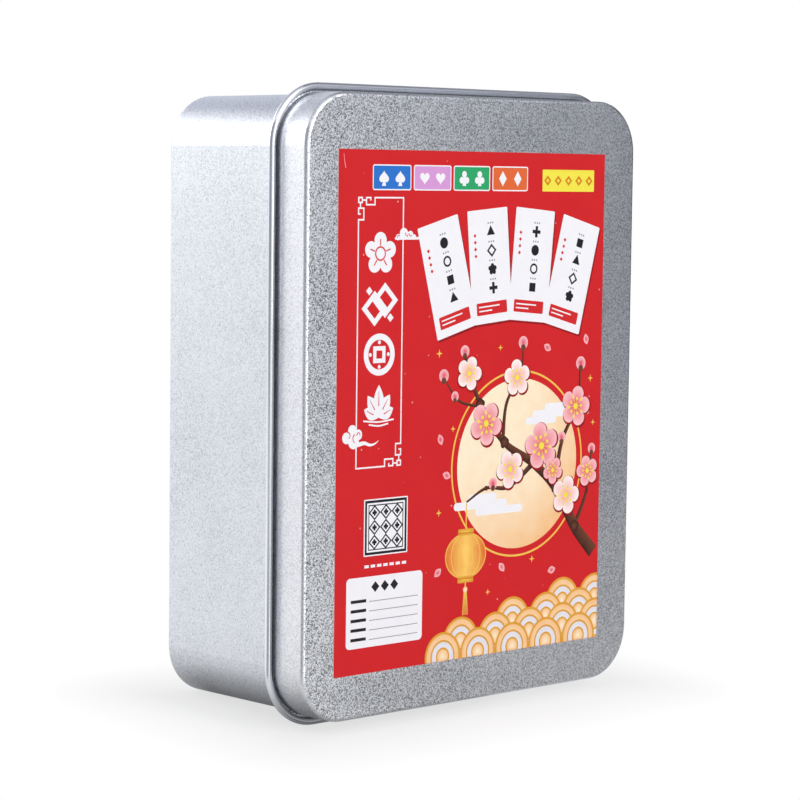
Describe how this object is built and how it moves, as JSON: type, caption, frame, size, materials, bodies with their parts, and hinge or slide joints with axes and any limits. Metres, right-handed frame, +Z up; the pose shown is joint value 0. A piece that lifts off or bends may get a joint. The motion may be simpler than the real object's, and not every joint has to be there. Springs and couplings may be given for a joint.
{
  "type": "card game tin",
  "caption": "Rounded two-piece tinplate card box standing on end: lift-off lid with rolled bead and printed label over a drawn tray that holds stacks of narrow playing cards.",
  "frame": {"origin": "middle of the footprint, on the surface that the lid's bead stands on", "axes": "+Z up along the tin's long side, +Y from the lid's face to the tray's back, +X to the right of someone who faces the lid"},
  "size_m": [0.0946, 0.0418, 0.1236],
  "materials": {
    "tinplate": "frosted fine-grained tinplate",
    "label_paper": "semi-gloss printed paper",
    "card_board": "coated card board"
  },
  "bodies": {
    "tray": {"tray": "tinplate"},
    "stack_lower": {"card_stack_lower": "card_board", "top_card_lower": "card_board"},
    "stack_middle": {"card_stack_middle": "card_board", "top_card_middle": "card_board"},
    "stack_upper": {"card_stack_upper": "card_board", "top_card_upper": "card_board"},
    "lid": {"lid": "tinplate", "lid_label": "label_paper"}
  },
  "joints": [
    {"name": "lower_stack_out", "type": "slide", "parent": "tray", "child": "stack_lower", "axis": [0, -1, 0], "range_m": [0, 0.045]},
    {"name": "middle_stack_out", "type": "slide", "parent": "stack_lower", "child": "stack_middle", "axis": [0, -1, 0], "range_m": [0, 0.045]},
    {"name": "upper_stack_out", "type": "slide", "parent": "stack_middle", "child": "stack_upper", "axis": [0, -1, 0], "range_m": [0, 0.045]},
    {"name": "lid_off", "type": "slide", "parent": "stack_upper", "child": "lid", "axis": [0, -1, 0], "range_m": [0, 0.06]}
  ]
}
